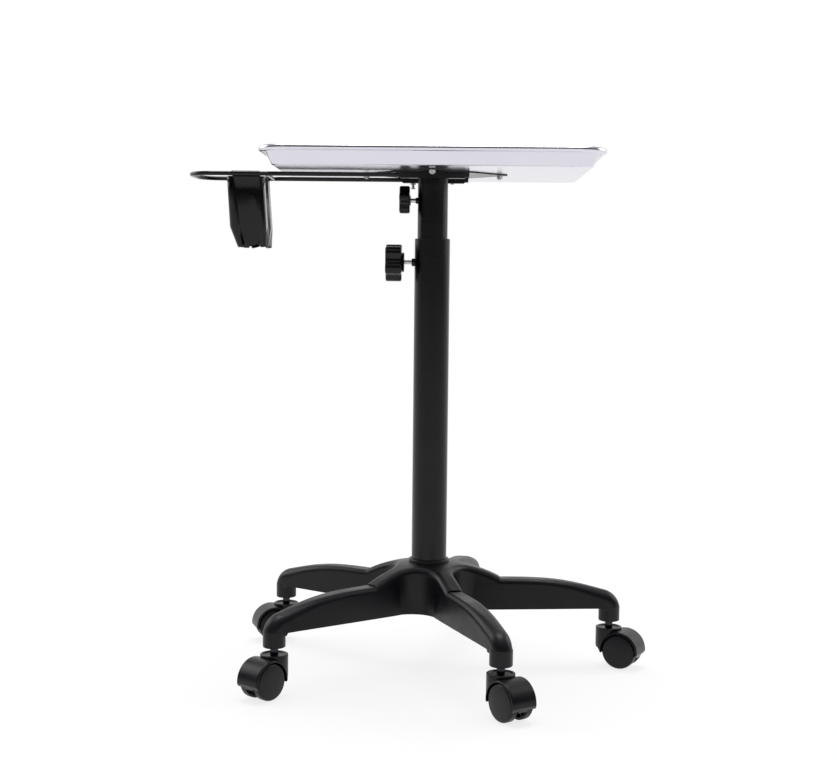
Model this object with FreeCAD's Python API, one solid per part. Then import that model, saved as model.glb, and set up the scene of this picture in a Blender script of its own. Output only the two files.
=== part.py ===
import FreeCAD, Part
import math
import os

# Rolling service table. A half-size sheet pan is bolted to a square plate on a telescopic post,
# which stands on a moulded five-legged base with twin-wheel casters. Two rods under the tray
# carry a hoop with a holster for hot tools, and slide in channels under the plate.
#
# While it is built, X runs to the right, Y to the back and Z up, with the floor at z = 0 and
# the post on the Z axis. At the end everything is moved so that the origin lies on the floor,
# under the middle of the whole table. All sizes are in millimetres and degrees.

os.makedirs("parts", exist_ok=True)
Vector = FreeCAD.Vector
X_AXIS = Vector(1, 0, 0)
Y_AXIS = Vector(0, 1, 0)
Z_AXIS = Vector(0, 0, 1)
ORIGIN = Vector(0, 0, 0)

# Clearances
running_gap = 0.05
seat_gap = 0.1
rod_gap = 0.3

# Twin-wheel casters
wheel_diameter = 49.0
wheel_width = 11.0
wheel_dome = 1.2
wheel_cap_diameter = 12.0
wheel_rim_wall = 3.0
wheel_disc_wall = 2.4
wheel_hub_diameter = 13.0
wheel_rib_count = 6
wheel_rib_thickness = 1.6
wheel_edge_radius = 3.8
wheel_inner_chamfer = 0.8
wheel_dome_fullness = 0.7
wheel_well_gap = 1.5
wheel_side_gap = 0.6
axle_diameter = 6.0
axle_end_cover = 3.0
hood_wall = 2.6
hood_width = 38.0
hood_edge_radius = 1.8
hood_hem_height = 16.0
caster_trail = 21.0
caster_height = 56.0
turret_diameter = 37.0
turret_skirt_height = 27.0
turret_cap_thickness = 2.2
turret_groove_depth = 0.5
turret_groove_height = 0.8
turret_cap_edge_radius = 1.0
turret_dish_depth = 1.4
turret_dish_rim = 3.2
web_thickness = 14.0
caster_headings = (-27.0, 90.0, 200.4, 231.0, -54.0)

# Caster stems and their seats in the legs
stem_diameter = 11.0
stem_seat_depth = 22.0
stem_insertion = 30.0
stem_neck_height = 7.5
stem_groove_depth = 0.8
stem_groove_height = 3.0
stem_groove_below_tip = 6.0
grip_ring_split = 2.5
sleeve_wall = 1.0
sleeve_flange_diameter = 16.0
sleeve_flange_thickness = 1.5
sleeve_top_space = 3.0

# Five-legged base
leg_count = 5
first_leg_angle = 3.5
base_radius = 260.0
socket_diameter = 30.0
socket_drop = 19.5
leg_half_width = 14.0
leg_draft = 0.8
leg_bend_radius = 29.0
leg_bend_drop = 3.5
leg_bend_start = 15.0
leg_hub_height = 43.5
leg_underside_rise = 1.5
leg_corner_radius = 7.0
leg_wall = 3.0
leg_rib_thickness = 2.5
leg_pocket_count = 5
leg_root_radius = 54.0
leg_pocket_start_radius = 64.0
leg_taper_power = 3
leg_beak_flat = 0.5
socket_overlap = 1.5
socket_edge_radius = 1.5
hub_arm_radius = 101.0
hub_arm_half_width = 13.9
hub_web_radius = 35.0
hub_lip = 1.5
hub_height = 67.5
hub_seat_radius = 29.0
hub_dome_rise = 3.6
hub_edge_radius = 8.5
hub_floor_thickness = 12.0
hub_pocket_inner_radius = 28.5
hub_pocket_outer_radius = 45.0
hub_pocket_roof_below_top = 12.0
tube_seat_depth = 49.5
collar_height = 4.5
collar_width = 4.0

# Telescopic post
outer_tube_diameter = 49.5
outer_tube_wall = 1.5
outer_tube_length = 504.0
inner_tube_diameter = 42.2
inner_tube_wall = 1.5
inner_tube_length = 450.0
inner_tube_showing = 82.0
bush_length = 60.0
bush_flange_thickness = 2.0
bush_flange_inset = 0.4
glide_length = 30.0
glide_cap_thickness = 3.0
glide_slot_width = 5.0
foot_plug_thickness = 10.0
base_bolt_diameter = 10.0
base_bolt_hole_gap = 0.3
base_bolt_head = 17.0
base_bolt_head_height = 6.4
base_bolt_past_plug = 2.0
base_washer_diameter = 28.0
base_washer_thickness = 2.5
base_washer_space = 1.0

# Clamp knobs
stud_diameter = 6.0
stud_hole_gap = 0.3
lower_knob_drop = 33.0
lower_knob_back_x = 39.3
lower_knob_thickness = 22.5
lower_knob_step_height = 3.6
lower_knob_step_diameter = 27.0
lower_knob_lobe_pitch = 18.0
lower_knob_lobe_radius = 9.0
lower_knob_valley_radius = 8.0
lower_knob_edge_radius = 2.4
lower_knob_turn = -9.0
lower_boss_diameter = 11.0
lower_boss_length = 4.0
upper_knob_drop = 29.0
upper_knob_back_x = 31.0
upper_knob_thickness = 14.5
upper_knob_step_height = 1.2
upper_knob_step_diameter = 14.0
upper_knob_lobe_pitch = 13.6
upper_knob_lobe_radius = 6.8
upper_knob_valley_radius = 6.0
upper_knob_edge_radius = 2.6
upper_knob_turn = 20.0
upper_boss_diameter = 8.5
upper_boss_length = 3.0
knob_lobes = 5
knob_stud_depth = 10.0
knob_dish_depth = 1.2

# Tray head
spigot_length = 55.0
spigot_wall = 3.0
spigot_shoulder = 6.4
plate_corner_reach = 105.0
plate_thickness = 1.5
plate_corner_radius = 3.0
tray_bolt_reach = 93.0
tray_bolt_diameter = 5.0
tray_bolt_past_nut = 1.5
tray_nut_across_flats = 8.0
tray_nut_thickness = 4.0

# Tray, measured over the rolled rim
tray_length = 457.0
tray_width = 330.0
tray_wall_flare = 18.5
tray_depth = 25.4
tray_sheet = 1.0
tray_floor_corner = 17.5
tray_rim_corner = 36.0
tray_floor_bend = 4.0
rim_bead_diameter = 8.0
tray_wall_in_bead = 0.4

# Holder rods and their channels
rod_diameter = 6.0
rod_half_spacing = 50.0
channel_wall = 1.2
channel_end_cut = 7.0
holder_reach = 338.0
hoop_length = 106.0
hoop_corner_radius = 34.0
cross_bar_diameter = 5.0
rod_end_x = 50.0
rod_cap_length = 6.0
rod_cap_wall = 0.25
clamp_screw_x = -29.0
clamp_screw_diameter = 4.0
clamp_screw_length = 8.2
clamp_screw_head_diameter = 6.5
clamp_screw_head_height = 1.6
clamp_nut_diameter = 8.0
clamp_nut_height = 2.2
guide_screw_x = 27.0
guide_screw_head_diameter = 5.0
guide_screw_head_height = 1.4

# Holster that hangs in the inner half of the hoop
holster_wall = 1.6
holster_lip_length = 34.0
holster_lip_thickness = 1.5
holster_top_drop = 2.6
holster_height = 97.0
holster_from_bar = 3.0
holster_top_length = 48.0
holster_top_half_width = 38.0
holster_top_lean = 0.0
holster_mid_length = 48.5
holster_mid_half_width = 37.0
holster_mid_lean = 4.5
holster_foot_length = 38.0
holster_foot_half_width = 31.0
holster_foot_lean = 4.0
holster_bulge_share = 0.72
holster_corner = 9.0
holster_notch_height = 11.0
holster_notch_width = 13.0

# Heights that follow from the sizes above
axle_z = wheel_diameter / 2
socket_bottom_z = caster_height + stem_neck_height + sleeve_flange_thickness
leg_end_z = socket_bottom_z + socket_drop
leg_hub_z = leg_end_z - leg_underside_rise
hub_top_z = leg_hub_z + hub_height
leg_top_z = leg_hub_z + leg_hub_height
tube_foot_z = hub_top_z - tube_seat_depth
outer_tube_top_z = tube_foot_z + outer_tube_length
bush_top_z = outer_tube_top_z + bush_flange_thickness
inner_tube_top_z = bush_top_z + inner_tube_showing
inner_tube_foot_z = inner_tube_top_z - inner_tube_length
plate_z = inner_tube_top_z + seat_gap + spigot_shoulder
tray_z = plate_z + plate_thickness
rim_centre_z = tray_z + tray_depth - rim_bead_diameter / 2
tray_floor_length = tray_length - 2 * tray_wall_flare
tray_floor_width = tray_width - 2 * tray_wall_flare
rod_z = plate_z - rod_gap - rod_diameter / 2
channel_inner = rod_diameter + 2 * rod_gap
channel_bottom_z = plate_z - channel_inner - channel_wall
lower_knob_z = bush_top_z - lower_knob_drop
upper_knob_z = inner_tube_top_z - upper_knob_drop


def cylinder(diameter, low_z, high_z, x=0.0, y=0.0):
    """An upright round bar."""
    return Part.makeCylinder(diameter / 2, high_z - low_z, Vector(x, y, low_z), Z_AXIS)


def tube(outer, inner, low_z, high_z, x=0.0, y=0.0):
    """An upright round tube."""
    return cylinder(outer, low_z, high_z, x, y).cut(cylinder(inner, low_z - 1, high_z + 1, x, y))


def bar_along_x(diameter, low_x, high_x, y, z):
    """A round bar along X."""
    return Part.makeCylinder(diameter / 2, high_x - low_x, Vector(low_x, y, z), X_AXIS)


def polygon(points):
    """A face with straight sides."""
    return Part.Face(Part.makePolygon(points + points[:1]))


def hexagon(across_flats, low_z, high_z, x=0.0, y=0.0):
    """An upright hexagonal prism, as a nut or a bolt head."""
    reach = across_flats / 2 / math.cos(math.radians(30))
    corners = []
    for step in range(6):
        angle = math.radians(60 * step + 30)
        corners.append(Vector(x + reach * math.cos(angle), y + reach * math.sin(angle), low_z))
    return polygon(corners).extrude(Vector(0, 0, high_z - low_z))


def fuse_all(shapes):
    """One solid from pieces that overlap or touch."""
    return shapes[0].multiFuse(shapes[1:]).removeSplitter()


def turned(shape, angle):
    """A copy of a shape, turned about the post."""
    copy = shape.copy()
    copy.rotate(ORIGIN, Z_AXIS, angle)
    return copy


def moved(shape, x, y, z):
    """A copy of a shape, moved."""
    copy = shape.copy()
    copy.translate(Vector(x, y, z))
    return copy


def edges_where(shape, test):
    """The edges whose middle point passes a test."""
    found = []
    for edge in shape.Edges:
        middle = edge.valueAt((edge.FirstParameter + edge.LastParameter) / 2)
        if test(middle):
            found.append(edge)
    return found


def rounded_rectangle(length, width, corner, z, x=0.0):
    """A closed outline round (x, 0) at height z, with round corners."""
    ends = []
    for side_x, side_y, first in ((1, 1, 0), (-1, 1, 90), (-1, -1, 180), (1, -1, 270)):
        centre = Vector(x + side_x * (length / 2 - corner), side_y * (width / 2 - corner), z)
        for turn in (0, 45, 90):
            angle = math.radians(first + turn)
            ends.append(centre + Vector(corner * math.cos(angle), corner * math.sin(angle), 0))
    edges = []
    for start in range(0, 12, 3):
        edges.append(Part.Arc(ends[start], ends[start + 1], ends[start + 2]).toShape())
        edges.append(Part.LineSegment(ends[start + 2], ends[(start + 3) % 12]).toShape())
    return Part.Wire(edges)


# Star base: one moulding, with a domed hub whose arms end in a small lip on the leg tops.
bend_r = base_radius + socket_diameter / 2 - leg_bend_radius
bend_z = leg_end_z - leg_bend_drop
bend_centre = Vector(bend_r, 0, bend_z)


def leg_section(r, low_z, high_z, corner):
    """The outline across a leg that points along X, flat below and round-cornered on top."""
    low = leg_half_width + leg_draft
    high = leg_half_width
    slant = corner * (1 - math.sqrt(0.5))
    points = [
        Vector(r, -low, low_z),
        Vector(r, low, low_z),
        Vector(r, high, high_z - corner),
        Vector(r, high - slant, high_z - slant),
        Vector(r, high - corner, high_z),
        Vector(r, corner - high, high_z),
        Vector(r, slant - high, high_z - slant),
        Vector(r, -high, high_z - corner),
    ]
    return Part.Wire([
        Part.LineSegment(points[0], points[1]).toShape(),
        Part.LineSegment(points[1], points[2]).toShape(),
        Part.Arc(points[2], points[3], points[4]).toShape(),
        Part.LineSegment(points[4], points[5]).toShape(),
        Part.Arc(points[5], points[6], points[7]).toShape(),
        Part.LineSegment(points[7], points[0]).toShape(),
    ])


def leg_heights(share):
    """Underside and top of the leg, from the hub (0) to the bend at its end (1)."""
    low = leg_hub_z + leg_underside_rise * share
    end_top = bend_z + leg_bend_radius
    return low, leg_top_z - (leg_top_z - end_top) * share ** leg_taper_power


def make_leg():
    """One leg along X: a tapering beam that bends down into the caster socket."""
    low, high = leg_heights(0.0)
    sections = [leg_section(leg_root_radius, low, high, leg_corner_radius)]
    end_roundness = leg_half_width - leg_beak_flat
    for share in (0.0, 0.35, 0.65, 0.85, 1.0):
        r = hub_arm_radius + (bend_r - hub_arm_radius) * share
        low, high = leg_heights(share)
        roundness = leg_corner_radius + (end_roundness - leg_corner_radius) * share ** leg_taper_power
        sections.append(leg_section(r, low, high, roundness))
    sections[-1].rotate(bend_centre, Y_AXIS, leg_bend_start)
    beam = Part.makeLoft(sections, True, False)
    bend = Part.Face(sections[-1]).revolve(bend_centre, Y_AXIS, 90 - leg_bend_start)
    socket = cylinder(socket_diameter, socket_bottom_z, leg_end_z + socket_overlap, base_radius)
    rim = edges_where(socket, lambda p: p.z < socket_bottom_z + 0.01)
    socket = socket.makeFillet(socket_edge_radius, rim)
    leg = fuse_all([beam, bend, socket])
    bore = stem_diameter + 2 * (running_gap + sleeve_wall)
    bore_top = socket_bottom_z + stem_insertion + sleeve_top_space
    return leg.cut(cylinder(bore, socket_bottom_z - 1, bore_top, base_radius))


def leg_pockets():
    """The pockets under one leg, in pairs beside a middle rib."""
    last_r = base_radius - socket_diameter / 2 - leg_wall
    step = (last_r - leg_pocket_start_radius) / leg_pocket_count
    width = leg_half_width - leg_wall - leg_rib_thickness / 2
    boxes = []
    for number in range(leg_pocket_count):
        start = leg_pocket_start_radius + step * number + leg_rib_thickness
        share = (start + step - leg_rib_thickness - hub_arm_radius) / (bend_r - hub_arm_radius)
        roof = leg_heights(max(share, 0.0))[1] - leg_wall - leg_corner_radius / 2
        for y in (leg_rib_thickness / 2, -leg_rib_thickness / 2 - width):
            corner = Vector(start, y, leg_hub_z - 1)
            boxes.append(Part.makeBox(step - leg_rib_thickness, width, roof - leg_hub_z + 1, corner))
    return boxes


def make_hub():
    """The domed hub with five short arms, concave between them."""
    half_turn = math.radians(180 / leg_count)
    tangent_r = (hub_arm_half_width + hub_web_radius) / math.tan(half_turn)
    waist_r = (hub_arm_half_width + hub_web_radius) / math.sin(half_turn) - hub_web_radius
    edges = []
    for number in range(leg_count):
        corners = []
        for r, y in ((tangent_r, -1), (hub_arm_radius, -1), (hub_arm_radius, 1), (tangent_r, 1)):
            corners.append(Vector(r, y * hub_arm_half_width, leg_hub_z))
        waist = Vector(waist_r * math.cos(half_turn), waist_r * math.sin(half_turn), leg_hub_z)
        next_root = turned(Part.Vertex(corners[0]), 360 / leg_count).Point
        outline = [Part.LineSegment(a, b).toShape() for a, b in zip(corners, corners[1:])]
        outline.append(Part.Arc(corners[3], waist, next_root).toShape())
        for edge in outline:
            edges.append(turned(edge, 360 / leg_count * number))
    star = Part.Face(Part.Wire(edges)).extrude(Vector(0, 0, hub_height + 1))
    lip_z = leg_top_z + hub_lip
    reach = hub_arm_radius + 1
    middle_r = (hub_seat_radius + reach) / 2
    middle_z = (hub_top_z + lip_z) / 2 + hub_dome_rise
    profile = Part.Wire([
        Part.LineSegment(Vector(0, 0, leg_hub_z), Vector(0, 0, hub_top_z)).toShape(),
        Part.LineSegment(Vector(0, 0, hub_top_z), Vector(hub_seat_radius, 0, hub_top_z)).toShape(),
        Part.Arc(
            Vector(hub_seat_radius, 0, hub_top_z),
            Vector(middle_r, 0, middle_z),
            Vector(reach, 0, lip_z),
        ).toShape(),
        Part.LineSegment(Vector(reach, 0, lip_z), Vector(reach, 0, leg_hub_z)).toShape(),
        Part.LineSegment(Vector(reach, 0, leg_hub_z), Vector(0, 0, leg_hub_z)).toShape(),
    ])
    dome = Part.Face(profile).revolve(ORIGIN, Z_AXIS, 360)
    hub = star.common(dome)
    inside_r = hub_arm_radius - 1

    def is_shoulder(point):
        r = math.hypot(point.x, point.y)
        return point.z > leg_top_z and hub_seat_radius + 5 < r < inside_r

    return hub.makeFillet(hub_edge_radius, edges_where(hub, is_shoulder))


def make_star_base():
    """Hub and legs as one moulding, with the post seat above and the bolt recess below."""
    leg = make_leg()
    legs = [turned(leg, first_leg_angle + 360 / leg_count * n) for n in range(leg_count)]
    base = fuse_all([turned(make_hub(), first_leg_angle)] + legs)
    pocket_roof = hub_top_z - hub_pocket_roof_below_top
    ring = tube(2 * hub_pocket_outer_radius, 2 * hub_pocket_inner_radius, leg_hub_z - 1, pocket_roof)
    rib_corner = Vector(0, -leg_rib_thickness, leg_hub_z - 2)
    rib = Part.makeBox(hub_arm_radius, 2 * leg_rib_thickness, hub_height, rib_corner)
    ribs = [turned(rib, 360 / leg_count * n) for n in range(leg_count)]
    hollows = [turned(ring.cut(ribs), first_leg_angle)]
    for pocket in leg_pockets():
        for n in range(leg_count):
            hollows.append(turned(pocket, first_leg_angle + 360 / leg_count * n))
    base = base.cut(hollows)
    seat = cylinder(outer_tube_diameter + 2 * seat_gap, tube_foot_z, hub_top_z + 1)
    recess_top = tube_foot_z - hub_floor_thickness
    recess = cylinder(base_washer_diameter + 2 * base_washer_space, leg_hub_z - 1, recess_top)
    hole = cylinder(base_bolt_diameter + 2 * base_bolt_hole_gap, recess_top - 1, tube_foot_z + 1)
    return base.cut(seat).cut(recess).cut(hole)


nodes = {}
nodes["star_base"] = make_star_base()

# Collar: a moulded trim ring that hides the joint between post and hub.
collar = tube(
    outer_tube_diameter + 2 * collar_width,
    outer_tube_diameter + 2 * seat_gap,
    hub_top_z,
    hub_top_z + collar_height,
)
collar_rim = edges_where(
    collar,
    lambda p: p.z > hub_top_z + 1 and math.hypot(p.x, p.y) > outer_tube_diameter / 2 + 1,
)
nodes["base_collar"] = collar.makeFillet(collar_width / 2, collar_rim)

# Post: outer tube with a welded plug in its foot, held down by one bolt from below.
outer_bore = outer_tube_diameter - 2 * outer_tube_wall
stud_hole = stud_diameter + 2 * stud_hole_gap
lower_stud_hole = bar_along_x(stud_hole, -outer_tube_diameter, 0, 0, lower_knob_z)
outer_tube = tube(outer_tube_diameter, outer_bore, tube_foot_z, outer_tube_top_z)
nodes["outer_tube"] = outer_tube.cut(lower_stud_hole)
nodes["tube_foot_plug"] = tube(
    outer_bore, base_bolt_diameter, tube_foot_z, tube_foot_z + foot_plug_thickness
)
washer_top_z = tube_foot_z - hub_floor_thickness
washer_z = washer_top_z - base_washer_thickness
nodes["base_washer"] = tube(
    base_washer_diameter, base_bolt_diameter + 2 * base_bolt_hole_gap, washer_z, washer_top_z
)
bolt_top_z = tube_foot_z + foot_plug_thickness + base_bolt_past_plug
nodes["base_bolt"] = fuse_all([
    hexagon(base_bolt_head, washer_z - base_bolt_head_height, washer_z),
    cylinder(base_bolt_diameter, washer_z, bolt_top_z),
])

# Guide bush in the mouth of the outer tube, split through by the clamp stud's hole.
bush_bore = inner_tube_diameter + 2 * running_gap
bush_flange = outer_tube_diameter - 2 * bush_flange_inset
bush = fuse_all([
    tube(outer_bore, bush_bore, outer_tube_top_z - bush_length, outer_tube_top_z),
    tube(bush_flange, bush_bore, outer_tube_top_z, bush_top_z),
])
nodes["guide_bush"] = bush.cut(lower_stud_hole)


def clamp_boss(diameter, length, tube_diameter, z):
    """A threaded boss welded to the left side of a tube."""
    foot = -tube_diameter / 2
    blank = bar_along_x(diameter, foot - length, 0, 0, z)
    blank = blank.cut(cylinder(tube_diameter, z - diameter, z + diameter))
    return blank.cut(bar_along_x(stud_diameter + 2 * running_gap, foot - length - 1, 0, 0, z))


nodes["lower_clamp_boss"] = clamp_boss(
    lower_boss_diameter, lower_boss_length, outer_tube_diameter, lower_knob_z
)

# Inner tube, with a glide plugged into its foot.
inner_bore = inner_tube_diameter - 2 * inner_tube_wall
upper_stud_hole = bar_along_x(stud_hole, -inner_tube_diameter, 0, 0, upper_knob_z)
inner_tube = tube(inner_tube_diameter, inner_bore, inner_tube_foot_z, inner_tube_top_z)
nodes["inner_tube"] = inner_tube.cut(upper_stud_hole)
glide_diameter = outer_bore - 2 * running_gap
glide_foot_z = inner_tube_foot_z - glide_cap_thickness
glide = fuse_all([
    cylinder(glide_diameter, glide_foot_z, inner_tube_foot_z),
    tube(
        inner_bore,
        inner_bore - 2 * glide_cap_thickness,
        inner_tube_foot_z,
        inner_tube_foot_z + glide_length,
    ),
])
glide_slot = Part.makeBox(
    inner_bore + 2,
    glide_slot_width,
    glide_length,
    Vector(-inner_bore / 2 - 1, -glide_slot_width / 2, inner_tube_foot_z + glide_cap_thickness),
)
nodes["inner_tube_glide"] = glide.cut(glide_slot)
nodes["upper_clamp_boss"] = clamp_boss(
    upper_boss_diameter, upper_boss_length, inner_tube_diameter, upper_knob_z
)


def lobed_face(pitch, lobe, valley, turn):
    """The outline of a lobed knob in the YZ plane, as tangent arcs."""
    step = math.radians(180 / knob_lobes)
    reach = lobe + valley
    valley_centre = pitch * math.cos(step) + math.sqrt(reach ** 2 - (pitch * math.sin(step)) ** 2)
    edges = []

    def at(radius, angle):
        return Vector(0, radius * math.cos(angle), radius * math.sin(angle))

    for number in range(knob_lobes):
        middle = math.radians(turn) + 2 * step * number
        lobe_centre = at(pitch, middle)
        before = at(valley_centre, middle - step)
        after = at(valley_centre, middle + step)
        after_lobe = at(pitch, middle + 2 * step)
        start = lobe_centre + (before - lobe_centre) * (lobe / reach)
        end = lobe_centre + (after - lobe_centre) * (lobe / reach)
        next_start = after_lobe + (after - after_lobe) * (lobe / reach)
        edges.append(Part.Arc(start, at(pitch + lobe, middle), end).toShape())
        low_point = at(valley_centre - valley, middle + step)
        edges.append(Part.Arc(end, low_point, next_start).toShape())
    return Part.Face(Part.Wire(edges))


def lobed_knob(face, back_x, thickness, step_height, step_diameter, edge_radius, z):
    """A moulded knob to the left of the post, with a round step that faces the tube."""
    step_x = back_x + step_height
    front_x = back_x + thickness + step_height
    head = face.extrude(Vector(-thickness, 0, 0))
    head = head.makeFillet(edge_radius, edges_where(head, lambda p: p.x in (0, -thickness)))
    head = moved(head, -step_x, 0, z)
    step = bar_along_x(step_diameter, -step_x - 1, -back_x, 0, z)
    hole = bar_along_x(stud_diameter, -back_x - knob_stud_depth, -back_x + 1, 0, z)
    dish_r = step_diameter / 4
    dish_start = Vector(knob_dish_depth - front_x, 0, z)
    front_dish = Part.makeCone(dish_r, dish_r + knob_dish_depth, knob_dish_depth, dish_start, -X_AXIS)
    return fuse_all([head, step]).cut(hole).cut(front_dish)


nodes["lower_knob"] = lobed_knob(
    lobed_face(lower_knob_lobe_pitch, lower_knob_lobe_radius, lower_knob_valley_radius, lower_knob_turn),
    lower_knob_back_x,
    lower_knob_thickness,
    lower_knob_step_height,
    lower_knob_step_diameter,
    lower_knob_edge_radius,
    lower_knob_z,
)
nodes["lower_stud"] = bar_along_x(
    stud_diameter,
    -lower_knob_back_x - knob_stud_depth,
    -inner_tube_diameter / 2 - seat_gap,
    0,
    lower_knob_z,
)
nodes["upper_knob"] = lobed_knob(
    lobed_face(upper_knob_lobe_pitch, upper_knob_lobe_radius, upper_knob_valley_radius, upper_knob_turn),
    upper_knob_back_x,
    upper_knob_thickness,
    upper_knob_step_height,
    upper_knob_step_diameter,
    upper_knob_edge_radius,
    upper_knob_z,
)
spigot_diameter = inner_bore - 2 * running_gap
nodes["upper_stud"] = bar_along_x(
    stud_diameter,
    -upper_knob_back_x - knob_stud_depth,
    -spigot_diameter / 2 - seat_gap,
    0,
    upper_knob_z,
)

# Tray head: a spigot that turns in the inner tube, welded under a square plate set on its corner.
spigot = fuse_all([
    cylinder(spigot_diameter, inner_tube_top_z - spigot_length, plate_z),
    cylinder(inner_tube_diameter, inner_tube_top_z + seat_gap, plate_z),
])
spigot_bore = cylinder(
    spigot_diameter - 2 * spigot_wall, inner_tube_top_z - spigot_length - 1, plate_z - spigot_wall
)
nodes["head_spigot"] = spigot.cut(spigot_bore)


def at_plate_corners(reach):
    """The four places at one distance from the post, towards the plate's corners."""
    return ((reach, 0.0), (0.0, reach), (-reach, 0.0), (0.0, -reach))


plate = polygon([Vector(x, y, plate_z) for x, y in at_plate_corners(plate_corner_reach)])
plate = plate.extrude(Vector(0, 0, plate_thickness))
plate_corners = edges_where(plate, lambda p: plate_z + 0.1 < p.z < tray_z - 0.1)
plate = plate.makeFillet(plate_corner_radius, plate_corners)


def countersunk_bolt(x, y, low_z):
    """A bolt whose head sinks through the tray and the plate, flush with the tray's floor."""
    top_z = tray_z + tray_sheet
    sink = top_z - plate_z
    shank_r = tray_bolt_diameter / 2
    head = Part.makeCone(shank_r, shank_r + sink, sink, Vector(x, y, plate_z), Z_AXIS)
    return fuse_all([head, cylinder(tray_bolt_diameter, low_z, top_z, x, y)])


bolt_holes = [countersunk_bolt(x, y, plate_z - 1) for x, y in at_plate_corners(tray_bolt_reach)]
nodes["tray_plate"] = plate.cut(bolt_holes)


def rod_channel(side):
    """A U channel under the plate for one rod, with ends cut back towards its bottom."""
    outer_half = channel_inner / 2 + channel_wall
    centre_y = side * rod_half_spacing
    half_length = plate_corner_reach - rod_half_spacing - outer_half
    face = polygon([
        Vector(-half_length, centre_y - outer_half, plate_z),
        Vector(half_length, centre_y - outer_half, plate_z),
        Vector(half_length - channel_end_cut, centre_y - outer_half, channel_bottom_z),
        Vector(channel_end_cut - half_length, centre_y - outer_half, channel_bottom_z),
    ])
    blank = face.extrude(Vector(0, 2 * outer_half, 0))
    slot_corner = Vector(-half_length - 1, centre_y - channel_inner / 2, channel_bottom_z + channel_wall)
    slot = Part.makeBox(2 * half_length + 2, channel_inner, channel_inner + 1, slot_corner)
    return blank.cut(slot)


nodes["near_rod_channel"] = rod_channel(-1)
clamp_hole = clamp_screw_diameter + 2 * running_gap
far_channel = rod_channel(1)
for x, hole in ((clamp_screw_x, clamp_hole), (guide_screw_x, clamp_screw_diameter)):
    drill = cylinder(hole, channel_bottom_z - 1, channel_bottom_z + channel_wall + 1, x, rod_half_spacing)
    far_channel = far_channel.cut(drill)
nodes["far_rod_channel"] = far_channel

# Clamp screw for the far rod, in a nut welded to the channel, and a fixed guide screw beside it.
clamp_tip_z = rod_z - rod_diameter / 2 - seat_gap
clamp_nut_z = channel_bottom_z - clamp_nut_height
nodes["clamp_nut"] = tube(
    clamp_nut_diameter, clamp_hole, clamp_nut_z, channel_bottom_z, clamp_screw_x, rod_half_spacing
)
clamp_foot_z = clamp_tip_z - clamp_screw_length
nodes["clamp_screw"] = fuse_all([
    cylinder(clamp_screw_diameter, clamp_foot_z, clamp_tip_z, clamp_screw_x, rod_half_spacing),
    cylinder(
        clamp_screw_head_diameter,
        clamp_foot_z - clamp_screw_head_height,
        clamp_foot_z,
        clamp_screw_x,
        rod_half_spacing,
    ),
])
nodes["guide_screw"] = fuse_all([
    cylinder(
        clamp_screw_diameter,
        channel_bottom_z,
        channel_bottom_z + channel_wall,
        guide_screw_x,
        rod_half_spacing,
    ),
    cylinder(
        guide_screw_head_diameter,
        channel_bottom_z - guide_screw_head_height,
        channel_bottom_z,
        guide_screw_x,
        rod_half_spacing,
    ),
])


# Tray: pressed sheet with sloping walls and a rim rolled round a steel wire.
def along_rim(section, length, width, corner):
    """Carry a section, drawn in XZ with X outward, round a rounded rectangle."""
    pieces = []
    for number in range(4):
        reach = (length if number % 2 == 0 else width) / 2
        run = (width if number % 2 == 0 else length) - 2 * corner
        straight = moved(section, reach, -run / 2, 0).extrude(Vector(0, run, 0))
        bend = moved(section, reach, run / 2, 0).revolve(Vector(reach - corner, run / 2, 0), Z_AXIS, 90)
        pieces.append(turned(straight, 90 * number))
        pieces.append(turned(bend, 90 * number))
    return fuse_all(pieces)


def ring_section(outer, inner, z):
    """A round section for the rim, solid where the inner size is zero."""
    section = Part.Face(Part.Wire(Part.makeCircle(outer / 2, Vector(0, 0, z), Y_AXIS)))
    if inner > 0:
        section = section.cut(Part.Face(Part.Wire(Part.makeCircle(inner / 2, Vector(0, 0, z), Y_AXIS))))
    return section


bead_length = tray_length - rim_bead_diameter
bead_width = tray_width - rim_bead_diameter
rim_wire_diameter = rim_bead_diameter - 2 * tray_sheet


def tray_body(inset, low_z):
    """The tray's form as a solid: its outside, or with an inset its hollow."""
    top_z = rim_centre_z + tray_wall_in_bead * rim_bead_diameter
    high_z = top_z if inset == 0 else top_z + 1
    top_share = (high_z - tray_z) / (top_z - tray_z)
    low_share = (low_z - tray_z) / (top_z - tray_z)
    outlines = []
    for share, z in ((low_share, low_z), (top_share, high_z)):
        spread_x = (bead_length - rim_bead_diameter / 2 - tray_floor_length) * share
        spread_y = (bead_width - rim_bead_diameter / 2 - tray_floor_width) * share
        corner = tray_floor_corner + (tray_rim_corner - rim_bead_diameter / 4 - tray_floor_corner) * share
        outlines.append(rounded_rectangle(
            tray_floor_length + spread_x - 2 * inset,
            tray_floor_width + spread_y - 2 * inset,
            corner - inset,
            z,
        ))
    body = Part.makeLoft(outlines, True, True)
    floor_edges = edges_where(body, lambda p: abs(p.z - low_z) < 0.01)
    return body.makeFillet(tray_floor_bend - inset, floor_edges)


shell = tray_body(0, tray_z).cut(tray_body(tray_sheet, tray_z + tray_sheet))
bead_section = ring_section(rim_bead_diameter, rim_wire_diameter, rim_centre_z)
bead = along_rim(bead_section, bead_length, bead_width, tray_rim_corner)
wire_section = ring_section(rim_wire_diameter, 0, rim_centre_z)
bead_core = along_rim(wire_section, bead_length, bead_width, tray_rim_corner)
nodes["tray"] = fuse_all([shell.cut(bead_core), bead]).cut(bolt_holes)
nodes["rim_wire"] = bead_core

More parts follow.
